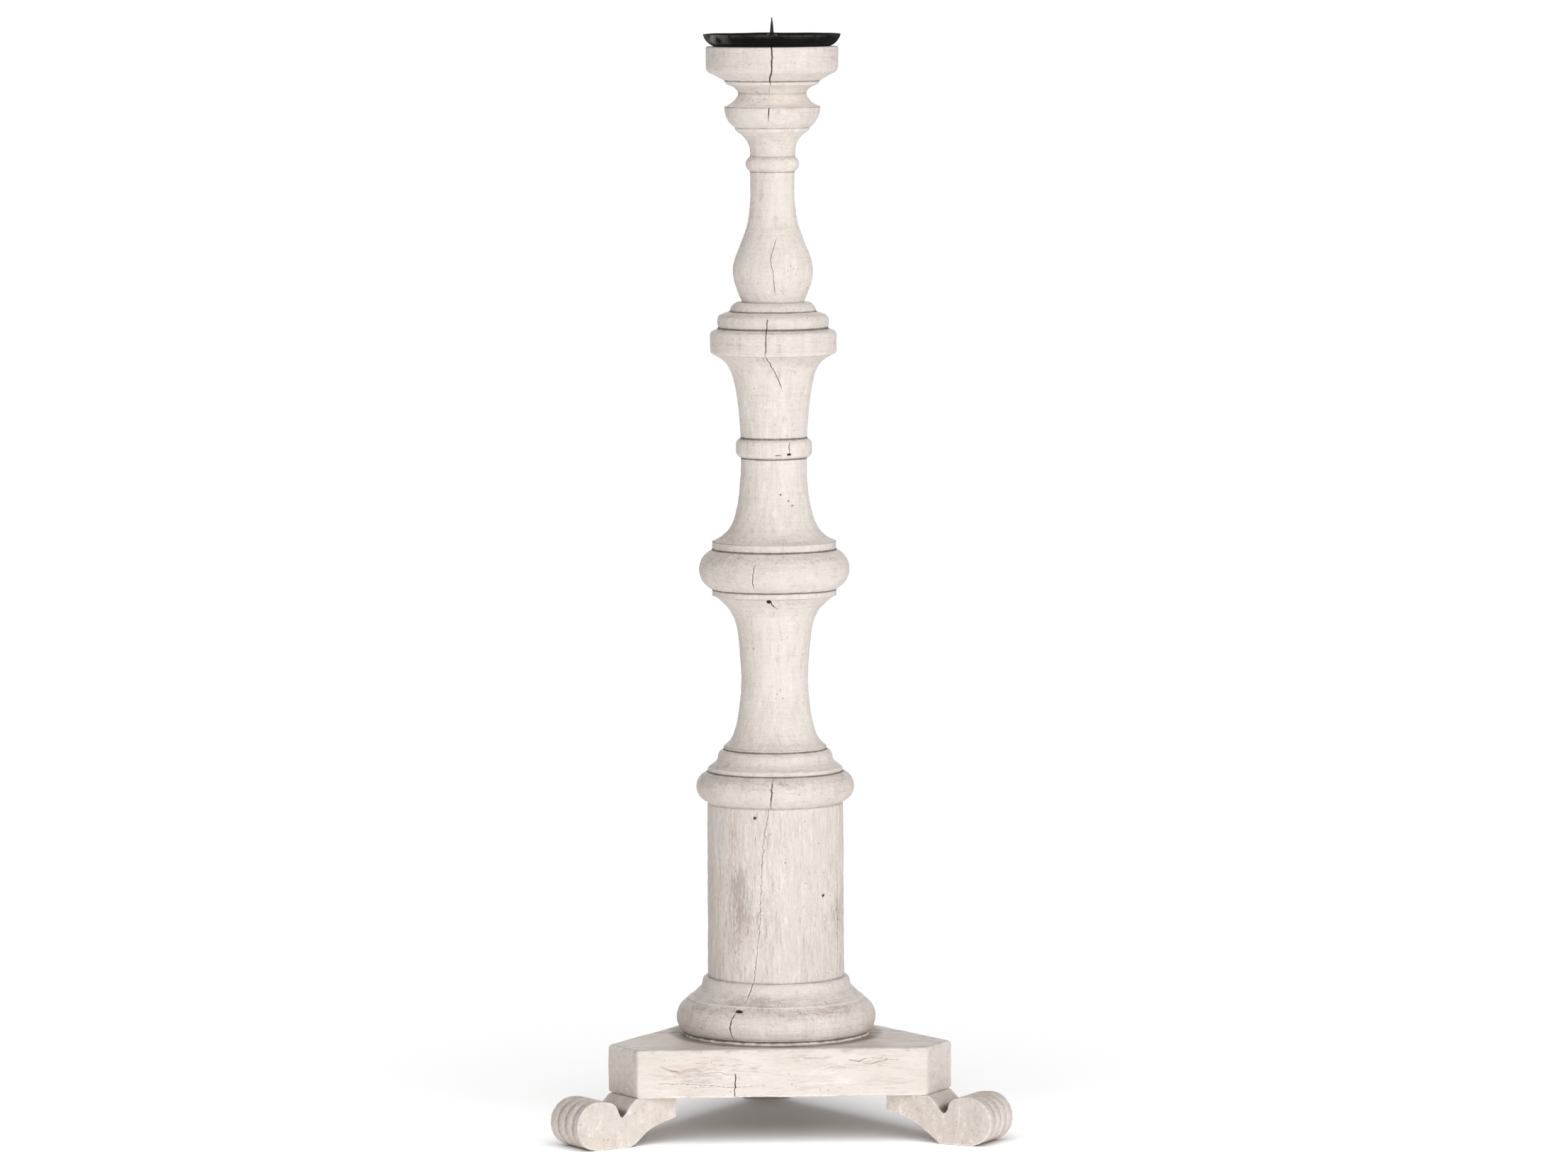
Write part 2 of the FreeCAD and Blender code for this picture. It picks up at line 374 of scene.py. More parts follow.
def makeWearGroup():
    # where paint is rubbed through, where dirt and painted shade gather in the hollows and where edges get
    # a painted highlight, from the piece's own masks
    group, given, made = startGroup(
        "rubbedPaint",
        [vectorInput, ("Grain", "NodeSocketVector", (1, 1, 1))]
        + [(name, "NodeSocketFloat", value) for name, value in (
            ("Strokes", 0.5), ("Hairs", 0.5), ("Edge", 0.0), ("Hollow", 0.0), ("Ledge", 0.0),
            ("Stain", 0.0), ("Amount", 0.5))],
        ("Rubbed", "DirtAndShade", "Bright", "Broad", "Mottle"),
    )
    vector = given.outputs["Vector"]
    grained = addNode(
        group, "ShaderNodeVectorMath", {0: vector, 1: given.outputs["Grain"]}, operation="MULTIPLY",
    ).outputs["Vector"]
    broad = noiseOn(group, vector, 0.02, 3.0)
    blotches = noiseOn(group, grained, 0.13, 6.0, 0.7, 0.5)
    specks = noiseOn(group, grained, 0.7, 5.0, 0.72, 0.2)
    field = plus(
        group, times(group, blotches, 0.26), times(group, given.outputs["Strokes"], 0.26),
        times(group, specks, 0.22), times(group, given.outputs["Hairs"], 0.26),
    )
    sharper = plus(group, times(group, field, 1.7), -0.35)
    # edges are rubbed less, which keeps them light as part of their painted highlight
    lift = plus(
        group, times(group, given.outputs["Stain"], 0.085), times(group, given.outputs["Ledge"], 0.05),
        times(group, given.outputs["Amount"], 0.1), times(group, broad, 0.14),
        times(group, given.outputs["Edge"], -0.1),
    )
    rubbed = ramp(group, plus(group, sharper, lift), 0.66, 0.86)
    # darker in the hollows: dirt, and painted shade in creases and where pieces meet
    dirtAndShade = ramp(group, times(group, given.outputs["Hollow"], plus(group, blotches, 0.45)), 0.15, 0.95)
    # a painted highlight along edges and raised crack lips
    paintedHighlight = times(group, given.outputs["Edge"], ramp(group, specks, 0.32, 0.6))
    mottle = plus(group, times(group, specks, 0.55), times(group, blotches, 0.45))
    return finishGroup(
        group, made,
        {"Rubbed": rubbed, "DirtAndShade": dirtAndShade, "Bright": paintedHighlight, "Broad": broad, "Mottle": mottle},
    )


def makePitGroup():
    # sparse small pits and flecks
    group, given, made = startGroup(
        "pits",
        [vectorInput, ("Scale", "NodeSocketFloat", 0.25), ("Size", "NodeSocketFloat", 0.16)], ("Pits",),
    )
    cells = addNode(
        group, "ShaderNodeTexVoronoi",
        {"Vector": given.outputs["Vector"], "Scale": given.outputs["Scale"], "Randomness": 1.0},
    )
    kept = ramp(group, noiseOn(group, given.outputs["Vector"], 0.06, 2.0), 0.5, 0.62)
    inside = combine(group, "SUBTRACT", given.outputs["Size"], cells.outputs["Distance"])
    pits = times(group, ramp(group, inside, 0.0, 0.08), kept)
    return finishGroup(group, made, {"Pits": pits})


def makeScuffGroup():
    # rubbed streaks and dull clouds on metal
    group, given, made = startGroup(
        "scuffs", [vectorInput, ("Scale", "NodeSocketFloat", 0.1)], ("Clouds", "Scratches"),
    )
    vector = given.outputs["Vector"]
    clouds = noiseOn(group, vector, given.outputs["Scale"], 5.0, 0.65, 0.3)
    lines = stretched(group, vector, (1.6, 1.6, 0.12))
    scratches = ramp(group, noiseOn(group, lines, 1.3, 3.0, 0.7), 0.56, 0.7)
    return finishGroup(group, made, {"Clouds": clouds, "Scratches": scratches})


brushGroup = makeBrushGroup()
wearGroup = makeWearGroup()
pitGroup = makePitGroup()
scuffGroup = makeScuffGroup()


def startMaterial(name):
    material = bpy.data.materials.new(name)
    material.use_nodes = True
    tree = material.node_tree
    place = addNode(tree, "ShaderNodeTexCoord").outputs["Object"]
    return material, tree, tree.nodes["Principled BSDF"], stretched(tree, place, (1000, 1000, 1000))


def maskOf(tree, name):
    return addNode(tree, "ShaderNodeAttribute", attribute_name=name).outputs["Fac"]


# the lightest colour is a painted highlight, and the darkest two also paint shade in hollows and cracks
paintColors = {
    "cream": (0.845, 0.785, 0.735, 1), "warm": (0.80, 0.725, 0.665, 1), "paintedHighlight": (0.93, 0.88, 0.83, 1),
    "shade": (0.60, 0.515, 0.45, 1), "undercoat": (0.53, 0.41, 0.365, 1), "grey": (0.44, 0.375, 0.35, 1),
    "dirtAndShade": (0.13, 0.095, 0.072, 1), "crack": (0.04, 0.028, 0.02, 1),
}


def makePaint(name, look):
    # cream paint rubbed back over a brown-grey undercoat, with painted shade and painted highlights
    material, tree, shader, place = startMaterial(name)
    edge, hollow, ledge, crack, stain = (maskOf(tree, mask) for mask in maskNames)
    brush = useGroup(tree, brushGroup, {"Vector": place, "Scale": look["strokes"]})
    turning = useGroup(tree, brushGroup, {"Vector": place, "Scale": look["lines"]})
    wear = useGroup(
        tree, wearGroup,
        {"Vector": place, "Grain": look["grain"], "Strokes": brush.outputs["Strokes"],
         "Hairs": brush.outputs["Hairs"],
         "Edge": edge, "Hollow": hollow, "Ledge": ledge, "Stain": stain, "Amount": look["wear"]},
    )
    pits = useGroup(tree, pitGroup, {"Vector": place, "Scale": 0.2, "Size": 0.13}).outputs["Pits"]
    broad = ramp(tree, wear.outputs["Broad"], 0.35, 0.68)
    color = blend(tree, broad, paintColors["cream"], paintColors["warm"])
    # mixed towards the shade colour by a set share per material: painted shade that makes the feet and
    # plate darker than the column
    color = blend(tree, look["shadeMix"], color, paintColors["shade"])
    shades = (
        (wear.outputs["Mottle"], 0.46, 0.68, "mottle"), (brush.outputs["Hairs"], 0.5, 0.72, "hairs"),
        (turning.outputs["Strokes"], 0.52, 0.68, "lineTone"),
    )
    for source, low, high, share in shades:
        amount = times(tree, ramp(tree, source, low, high), look[share])
        color = blend(tree, amount, color, paintColors["shade"])
    tint = ramp(tree, turning.outputs["Hairs"], 0.38, 0.62)
    under = blend(tree, tint, paintColors["undercoat"], paintColors["grey"])
    color = blend(tree, times(tree, wear.outputs["Rubbed"], look["rubbed"]), color, under)
    # painted highlight on edges and crack lips
    color = blend(tree, times(tree, wear.outputs["Bright"], 1.0), color, paintColors["paintedHighlight"])
    # the fine relief is painted into the colour too: painted shade in its valleys and painted highlights
    # on its ridges
    paintedRelief = plus(
        tree, times(tree, brush.outputs["Height"], 0.6), times(tree, turning.outputs["Height"], 0.4),
    )
    paintedValleyShade = times(tree, ramp(tree, paintedRelief, 0.49, 0.39), look["paintedRelief"])
    paintedRidgeHighlight = times(tree, ramp(tree, paintedRelief, 0.52, 0.61), look["paintedRelief"])
    color = blend(tree, paintedValleyShade, color, paintColors["shade"])
    color = blend(tree, paintedRidgeHighlight, color, paintColors["paintedHighlight"])
    # dirt and painted shade in the hollows
    color = blend(tree, times(tree, wear.outputs["DirtAndShade"], look["dirtAndShade"]), color, paintColors["dirtAndShade"])
    color = blend(tree, times(tree, pits, look["pits"]), color, paintColors["dirtAndShade"])
    # near-black where the crack and hole mask is set: partly dirt, partly painted shade inside the cracks
    # and holes
    color = blend(tree, ramp(tree, crack, 0.08, 0.6), color, paintColors["crack"])
    tree.links.new(color, shader.inputs["Base Color"])
    rough = plus(
        tree, times(tree, wear.outputs["Rubbed"], 0.2), times(tree, brush.outputs["Hairs"], 0.2), 0.5,
    )
    tree.links.new(rough, shader.inputs["Roughness"])
    shader.inputs["Specular IOR Level"].default_value = 0.3
    height = plus(
        tree, times(tree, brush.outputs["Height"], look["strokeDepth"]),
        times(tree, turning.outputs["Height"], look["lineDepth"]),
        times(tree, wear.outputs["Mottle"], look["lumpDepth"]),
        times(tree, wear.outputs["Rubbed"], -0.3), times(tree, pits, -0.8),
    )
    bump = addNode(tree, "ShaderNodeBump", {"Height": height, "Strength": 1.0, "Distance": 0.001})
    tree.links.new(bump.outputs["Normal"], shader.inputs["Normal"])
    return material


def makeIron(name, look):
    material, tree, shader, place = startMaterial(name)
    scuffs = useGroup(tree, scuffGroup, {"Vector": place, "Scale": look["scale"]})
    dust = times(tree, ramp(tree, scuffs.outputs["Clouds"], 0.45, 0.75), look["dust"])
    color = blend(tree, dust, look["color"], look["dusty"])
    color = blend(tree, times(tree, scuffs.outputs["Scratches"], look["scratches"]), color, look["bare"])
    rubbed = times(tree, maskOf(tree, "stain"), ramp(tree, scuffs.outputs["Clouds"], 0.35, 0.6))
    color = blend(tree, rubbed, color, look["bare"])
    tree.links.new(color, shader.inputs["Base Color"])
    rough = ramp(tree, scuffs.outputs["Clouds"], 0.3, 0.75, look["smooth"], look["rough"])
    tree.links.new(rough, shader.inputs["Roughness"])
    shader.inputs["Metallic"].default_value = look["metal"]
    shader.inputs["Specular IOR Level"].default_value = look["gloss"]
    fine = noiseOn(tree, place, 1.1, 4.0, 0.6)
    height = plus(tree, fine, times(tree, scuffs.outputs["Clouds"], 1.5))
    bump = addNode(tree, "ShaderNodeBump", {"Height": height, "Strength": 0.6, "Distance": 0.0002})
    tree.links.new(bump.outputs["Normal"], shader.inputs["Normal"])
    return material


mouldedPaint = makePaint("mouldedPaint", {
    "shadeMix": 0.0, "grain": (0.7, 0.7, 1.5), "paintedRelief": 0.7, "pits": 0.45,
    "strokes": (0.5, 0.5, 0.09), "lines": (0.035, 0.035, 1.0), "wear": 0.25, "mottle": 0.45, "hairs": 0.3,
    "lineTone": 0.45, "rubbed": 0.85, "dirtAndShade": 0.85, "strokeDepth": 0.8, "lineDepth": 1.4,
    "lumpDepth": 0.8,
})
stemPaint = makePaint("stemPaint", {
    "shadeMix": 0.0, "grain": (1.3, 1.3, 0.4), "paintedRelief": 0.65, "pits": 0.4,
    "strokes": (0.5, 0.5, 0.05), "lines": (0.04, 0.04, 0.8), "wear": 0.35, "mottle": 0.4, "hairs": 0.35,
    "lineTone": 0.3, "rubbed": 0.7, "dirtAndShade": 0.85, "strokeDepth": 1.1, "lineDepth": 0.9, "lumpDepth": 1.1,
})
drumPaint = makePaint("drumPaint", {
    "shadeMix": 0.0, "grain": (1.6, 1.6, 0.28), "paintedRelief": 0.85, "pits": 0.4,
    "strokes": (0.9, 0.9, 0.13), "lines": (0.12, 0.12, 0.02), "wear": 0.6, "mottle": 0.4, "hairs": 0.7,
    "lineTone": 0.3, "rubbed": 0.85, "dirtAndShade": 0.85, "strokeDepth": 2.2, "lineDepth": 0.8, "lumpDepth": 0.9,
})
plankPaint = makePaint("plankPaint", {
    "shadeMix": 0.2, "grain": (0.22, 1.5, 1.5), "paintedRelief": 0.7, "pits": 0.35,
    "strokes": (0.04, 0.5, 0.5), "lines": (0.02, 0.14, 0.14), "wear": 0.4, "mottle": 0.35, "hairs": 0.4,
    "lineTone": 0.25, "rubbed": 0.85, "dirtAndShade": 0.85, "strokeDepth": 0.9, "lineDepth": 0.4,
    "lumpDepth": 0.6,
})
footPaint = makePaint("footPaint", {
    "shadeMix": 0.38, "grain": (1, 1, 1), "paintedRelief": 0.75, "pits": 0.12,
    "strokes": (0.3, 0.3, 0.14), "lines": (0.5, 0.5, 0.3), "wear": 0.5, "mottle": 0.5, "hairs": 0.35,
    "lineTone": 0.3, "rubbed": 0.8, "dirtAndShade": 0.9, "strokeDepth": 1.3, "lineDepth": 0.7, "lumpDepth": 1.4,
})
blackIron = makeIron("blackIron", {
    "scale": 0.09, "color": (0.005, 0.0046, 0.004, 1), "dusty": (0.017, 0.015, 0.0125, 1),
    "bare": (0.3, 0.28, 0.26, 1), "dust": 0.8, "scratches": 0.06, "smooth": 0.45, "rough": 0.8,
    "metal": 0.0, "gloss": 0.08,
})
spikeIron = makeIron("spikeIron", {
    "scale": 0.3, "color": (0.02, 0.018, 0.017, 1), "dusty": (0.06, 0.042, 0.03, 1),
    "bare": (0.25, 0.22, 0.2, 1), "dust": 0.7, "scratches": 0.4, "smooth": 0.4, "rough": 0.7,
    "metal": 0.6, "gloss": 0.4,
})
platedSteel = makeIron("platedSteel", {
    "scale": 0.25, "color": (0.5, 0.49, 0.46, 1), "dusty": (0.3, 0.27, 0.22, 1),
    "bare": (0.62, 0.61, 0.58, 1), "dust": 0.7, "scratches": 0.3, "smooth": 0.3, "rough": 0.6,
    "metal": 0.9, "gloss": 0.5,
})
print("materials made")


# the floor, light and camera

lighting = {
    "keyWay": (0.30, -0.93, 0.28), "key": 2.25, "keySoftness": 55,
    "backWay": (0, 0.98, 0.1), "back": 1.0, "backSoftness": 30,
    "floorWay": (0, -0.62, 0.78), "floorLight": 3.3, "floorSoftness": 70,
    "around": 0.34, "backdrop": 1.0,
}


def makeFloor():
    mesh = bpy.data.meshes.new("floor")
    bm = bmesh.new()
    bmesh.ops.create_circle(bm, cap_ends=True, segments=64, radius=150)
    bm.to_mesh(mesh)
    bm.free()
    floor = bpy.data.objects.new("floor", mesh)
    bpy.context.scene.collection.objects.link(floor)
    paper = bpy.data.materials.new("palePaper")
    paper.use_nodes = True
    shader = paper.node_tree.nodes["Principled BSDF"]
    shader.inputs["Base Color"].default_value = (0.9, 0.9, 0.9, 1)
    shader.inputs["Roughness"].default_value = 0.95
    shader.inputs["Specular IOR Level"].default_value = 0.1
    mesh.materials.append(paper)
    floor.visible_glossy = False
    return floor


def makeSun(name, toward, strength, softness, floor, state):
    lamp = bpy.data.lights.new(name, "SUN")
    lamp.energy = strength
    lamp.angle = math.radians(softness)
    light = bpy.data.objects.new(name, lamp)
    light.rotation_mode = "QUATERNION"
    light.rotation_quaternion = Vector(toward).to_track_quat("Z", "Y")
    bpy.context.scene.collection.objects.link(light)
    receivers = bpy.data.collections.new(name + "Receivers")
    receivers.objects.link(floor)
    light.light_linking.receiver_collection = receivers
    receivers.collection_objects[0].light_linking.link_state = state


def makeWorld():
    # a white backdrop, which lights the object less than it shows
    world = bpy.data.worlds.new("studio")
    world.use_nodes = True
    tree = world.node_tree
    seen = addNode(tree, "ShaderNodeLightPath").outputs["Is Camera Ray"]
    strength = addNode(tree, "ShaderNodeMix", {0: seen, 2: lighting["around"], 3: lighting["backdrop"]})
    tree.links.new(strength.outputs[0], tree.nodes["Background"].inputs["Strength"])
    tree.nodes["Background"].inputs["Color"].default_value = (1.0, 1.0, 1.0, 1)
    bpy.context.scene.world = world
    bpy.context.scene.view_settings.view_transform = "Standard"


def makeCamera():
    camera = bpy.data.cameras.new("camera")
    camera.lens = viewing["lens"]
    camera.sensor_width = viewing["sensor"]
    camera.clip_end = 400
    holder = bpy.data.objects.new("camera", camera)
    place = frontWay * viewing["distance"] + Vector((0, 0, viewing["height"]))
    aim = rightWay * viewing["aimSide"] + Vector((0, 0, viewing["aimHeight"]))
    turn = (place - aim).to_track_quat("Z", "Y").to_matrix()
    holder.matrix_world = Matrix.Translation(place) @ (
        turn @ Matrix.Rotation(math.radians(viewing["roll"]), 3, "Z")
    ).to_4x4()
    bpy.context.scene.collection.objects.link(holder)
    bpy.context.scene.camera = holder


studioFloor = makeFloor()
makeSun("keyLight", lighting["keyWay"], lighting["key"], lighting["keySoftness"], studioFloor, "EXCLUDE")
makeSun(
    "backLight", lighting["backWay"], lighting["back"], lighting["backSoftness"], studioFloor, "EXCLUDE",
)
makeSun(
    "floorLight", lighting["floorWay"], lighting["floorLight"], lighting["floorSoftness"], studioFloor,
    "INCLUDE",
)
makeWorld()
makeCamera()
print("floor, light and camera made")


# finishing a mesh

def isolate(bm, name):
    mesh = bpy.data.meshes.new(name)
    bm.to_mesh(mesh)
    bm.free()
    return mesh


def finishPiece(bm, name, nodes, material):
    bmesh.ops.scale(bm, vec=(mm, mm, mm), verts=bm.verts)
    for face in bm.faces:
        face.smooth = True
    piece = bpy.data.objects.new(name, isolate(bm, name))
    bpy.context.scene.collection.objects.link(piece)
    piece.data.materials.append(material)
    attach(piece, "root")
    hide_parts(*nodes)
    print(name, "made:", len(piece.data.polygons), "faces")
    return piece


def withModifier(bm, kind, **settings):
    # the bmesh again, after one modifier
    source = bpy.data.objects.new("working", isolate(bm, "working"))
    bpy.context.scene.collection.objects.link(source)
    modifier = source.modifiers.new("working", kind)
    for name, value in settings.items():
        setattr(modifier, name, value)
    shaped = source.evaluated_get(bpy.context.evaluated_depsgraph_get())
    mesh = bpy.data.meshes.new_from_object(shaped)
    result = bmesh.new()
    result.from_mesh(mesh)
    for used in (mesh, source.data):
        bpy.data.meshes.remove(used)
    return result


def frontPlace(place):
    return place.dot(rightWay), place.z, place.dot(frontWay)


def roundPlace(radius):
    # places round the piece, measured along its surface from the front
    def where(place):
        return math.atan2(place.dot(rightWay), place.dot(frontWay)) % math.tau * radius, place.z, 1
    return where


# turned pieces

# the socket for the spigot of the piece above, and the bore for the tie rod
socket = {"radius": 12.0, "depth": 13.0, "bore": 4.5}
turning = {
    "step": 1.0, "segments": 288, "softPasses": 1, "spigotRadius": 11.9, "spigotLength": 12.0,
    "lumps": [(0.03, 0.35), (0.13, 0.16), (0.32, 0.14)],
}


def profileMasks(points):
    # how sharp each point of an outline is, outwards and inwards, and how far it faces up
    reach = 2
    rows = []
    for i, point in enumerate(points):
        before = points[max(0, i - reach)]
        after = points[min(len(points) - 1, i + reach)]
        a, b = point - before, after - point
        turn = 0.0
        if a.length > 1e-6 and b.length > 1e-6:
            turn = math.atan2(a.x * b.z - a.z * b.x, a.x * b.x + a.z * b.z)
        way = (after - before).normalized()
        toEnd = min((point - points[0]).length, (point - points[-1]).length)
        # edge is painted as a highlight; hollow, which also takes the ends where the piece meets the next,
        # is painted with dirt and painted shade
        rows.append({
            "edge": smoothStep(0.25, 0.9, turn),
            "hollow": max(smoothStep(0.2, 0.8, -turn), 0.4 * smoothStep(1.3, 0.2, toEnd)),
            "ledge": smoothStep(0.2, 0.8, -way.x),
        })
    return rows


def spinRound(bm, points, steps, closed=True):
    verts = [bm.verts.new(p) for p in points]
    pairs = zip(verts, verts[1:] + verts[:1]) if closed else zip(verts, verts[1:])
    edges = [bm.edges.new(pair) for pair in pairs]
    bmesh.ops.spin(
        bm, geom=verts + edges, cent=(0, 0, 0), axis=(0, 0, 1), dvec=(0, 0, 0), angle=math.tau,
        steps=steps, use_merge=True,
    )
    bmesh.ops.remove_doubles(bm, verts=bm.verts, dist=0.001)


def makeTurned(name, outline, wear):
    low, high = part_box(name)
    bottom = low.z / mm + turning["spigotLength"]
    top = high.z / mm
    height = top - bottom
    traced = traceOutline(outline["start"], outline["moves"], turning["step"])
    outer = soften(traced, turning["softPasses"])
    inner = [at(socket["bore"], height)]
    if wear.get("socket", True):
        inner = [
            at(socket["radius"], height), at(socket["radius"], height - socket["depth"]),
            at(socket["bore"], height - socket["depth"]),
        ]
    inner += [
        at(socket["bore"], -turning["spigotLength"]),
        at(turning["spigotRadius"], -turning["spigotLength"]), at(turning["spigotRadius"], 0),
    ]
    bm = bmesh.new()
    spinRound(bm, outer + inner, turning["segments"])
    cracks = prepare(wear.get("cracks", []))
    widest = max(p.x for p in outer)
    hidden = backCracks(wear["seed"], height, widest, wear.get("backCracks", 2))
    roundWhere = roundPlace(widest)
    refineNear(bm, cracks, frontPlace, 2)
    refineNear(bm, hidden, roundWhere, 1)
    bmesh.ops.recalc_face_normals(bm, faces=bm.faces)
    bm.normal_update()
    masks = addMasks(bm)
    rows = profileMasks(outer)
    tree = KDTree(len(outer))
    for i, point in enumerate(outer):
        tree.insert(point, i)
    tree.balance()
    stains = wear.get("stains", []) + scatterStains(wear["seed"], height, wear.get("backStains", 4))
    shift = Vector((wear["seed"] * 17.3, wear["seed"] * 5.1, 0))
    lines, grain = wear.get("lines", 0.1), wear.get("grain", 0.06)
    for v in bm.verts:
        radius = math.hypot(v.co.x, v.co.y)
        if radius < turning["spigotRadius"] + 0.2:
            continue
        row = rows[tree.find(at(radius, v.co.z))[1]]
        side, rise, facing = frontPlace(v.co)
        sample = v.co + shift
        inward = uneven(sample, turning["lumps"])
        inward += lines * noise.noise(Vector((sample.x * 0.05, sample.y * 0.05, sample.z * 0.75)))
        inward += grain * noise.noise(Vector((sample.x * 0.5, sample.y * 0.5, sample.z * 0.05)))
        if rise < 2.6:
            inward += wear.get("bead", 0.0) * max(0.0, 0.25 + noise.noise(sample * 0.2))
        chip = noise.noise(sample * 0.3)
        inward += 0.7 * max(0.0, chip - 0.4) + row["edge"] * (0.12 + 1.6 * max(0.0, chip - 0.15))
        deep, dark, lip = cutCracks(cracks, side, rise) if facing > 0 else (0.0, 0.0, 0.0)
        roundSide = roundWhere(v.co)[0]
        for found in (
            cutCracks(hidden, roundSide, rise)[:2],
            dentBy(side, rise, wear.get("spots", [])) if facing > 0 else (0.0, 0.0),
        ):
            deep, dark = max(deep, found[0]), max(dark, found[1])
        # crack lips get the painted highlight of the edges; hollows get dirt and painted shade
        v[masks["edge"]] = max(row["edge"], min(1.0, 4 * lip))
        v[masks["hollow"]] = row["hollow"]
        v[masks["ledge"]] = row["ledge"]
        v[masks["crack"]] = dark
        v[masks["stain"]] = stainBy(math.degrees(roundSide / widest), rise, stains)
        # the way out is straight to the side where the piece stands on another, so that joints stay shut
        way = v.normal.copy()
        if rise < 0.6 or rise > height - 0.6:
            way = Vector((v.co.x, v.co.y, 0)) / radius
        v.co -= way * (inward + deep - lip)
        v.co.z = min(max(v.co.z, 0.0), height)
    bmesh.ops.translate(bm, vec=(0, 0, bottom), verts=bm.verts)
    return finishPiece(bm, name + "_turned", [name], wear["paint"])


cupOutline = {
    "start": (39.5, 0),
    "moves": [
        ("curve", (32.5, 3.6), (27.9, 10.5), (31.2, 15.8), (38.6, 19.0)),
        ("line", (38.8, 21.4)), ("line", (49.6, 27.2)), ("arc", (53.0, 29.3), (54.3, 32.2)),
        ("line", (54.3, 48.7)), ("line", (53.5, 49.5)),
    ],
}
cupWear = {
    "seed": 1, "paint": mouldedPaint, "socket": False,
    "cracks": [
        crackAlong(
            [(-0.6, 52), (0.0, 41), (-0.3, 36.7), (-0.5, 29.4), (-1.9, 23.5), (-1.3, 18)], 1.4, 2.6,
            openTop=1.0, wander=0.4,
        ),
        crackAlong([(-2.2, 18), (-2.6, 10), (-2.4, 4)], 0.7, 0.5, dark=0.4),
    ],
    "stains": [patch(-60, 40, 16, 11, 0.9),
               patch(-30, 15, 12, 5, 1.2),
               patch(30, 41, 8, 6, 0.7),
               patch(72, 40, 14, 10, 0.8)],
}
neckOutline = {
    "start": (18.6, 0),
    "moves": [
        ("line", (18.7, 6.0)), ("curve", (20.4, 12.2), (25.0, 17.7), (30.7, 21.9)), ("line", (30.7, 23.8)),
        ("curve", (35.0, 27.7), (38.1, 33.0), (39.3, 38.5)), ("line", (39.3, 41.0)),
    ],
}
neckWear = {
    "seed": 2, "paint": mouldedPaint,
    "cracks": [crackAlong([(-2.5, 43), (-3.0, 37), (-3.3, 29.5)], 1.1, 1.6, openTop=1.0, wander=0.2)],
    "stains": [patch(-38, 33, 12, 6, 0.8),
               patch(0, 41, 70, 1.6, 1.6),
               patch(-50, 22, 22, 2, 1.2)],
}
vaseOutline = {
    "start": (25.5, 0),
    "moves": [
        ("curve", (28.9, 8.3), (32.0, 17.5), (32.9, 26.5), (31.1, 36.0), (25.8, 50.0), (21.1, 64.0),
         (18.9, 78.0), (18.2, 86.0)),
        ("line", (18.2, 107.0)), ("line", (18.9, 108.0)), ("arc", (22.1, 113.8), (18.6, 119.5)),
    ],
}
vaseWear = {
    "seed": 3, "paint": stemPaint,
    "cracks": [crackAlong([(3.1, 54), (-2.1, 36), (-0.4, 27.5), (1.8, 6.5)], 0.8, 0.7, dark=0.6)],
    "stains": [patch(25, 23, 26, 14, 0.8),
               patch(-55, 18, 16, 18, 0.7),
               patch(0, 118.5, 80, 1.6, 1.4),
               patch(-10, 113, 26, 2.5, 0.9)],
}
collarOutline = {
    "start": (49.3, 0),
    "moves": [
        ("arc", (51.4, 0.9), (52.1, 3.0)), ("line", (52.1, 16.6)), ("arc", (51.4, 18.6), (49.2, 19.8)),
        ("line", (45.6, 21.2)), ("curve", (45.3, 23.0), (46.1, 27.5), (44.8, 31.5), (41.0, 33.6)),
        ("line", (35.4, 35.5)), ("arc", (34.4, 39.3), (31.0, 42.3)), ("line", (30.2, 43.0)),
    ],
}
collarWear = {
    "seed": 4, "paint": mouldedPaint,
    "cracks": [
        crackAlong([(-4.7, 31), (-6.0, 16.5), (-6.4, 4.5), (-7.4, -1)], 1.0, 1.4, openTop=0.7, dark=0.8),
    ],
    "stains": [patch(-35, 10, 22, 9, 0.9),
               patch(20, 19.5, 60, 1.6, 1.0),
               patch(-60, 30, 20, 8, 0.7)],
}
middleStemOutline = {
    "start": (50.8, 0),
    "moves": [
        ("curve", (43.5, 3.9), (36.7, 10.9), (32.2, 21.4), (29.2, 36.0), (27.2, 56.0)),
        ("line", (27.2, 69.6)),
        ("arc", (30.2, 71.0), (31.3, 73.8)), ("line", (31.3, 80.6)), ("arc", (30.3, 83.6), (27.4, 85.2)),
        ("curve", (28.6, 105.0), (30.6, 122.0), (34.4, 139.0), (40.3, 148.6), (48.7, 154.5)),
    ],
}
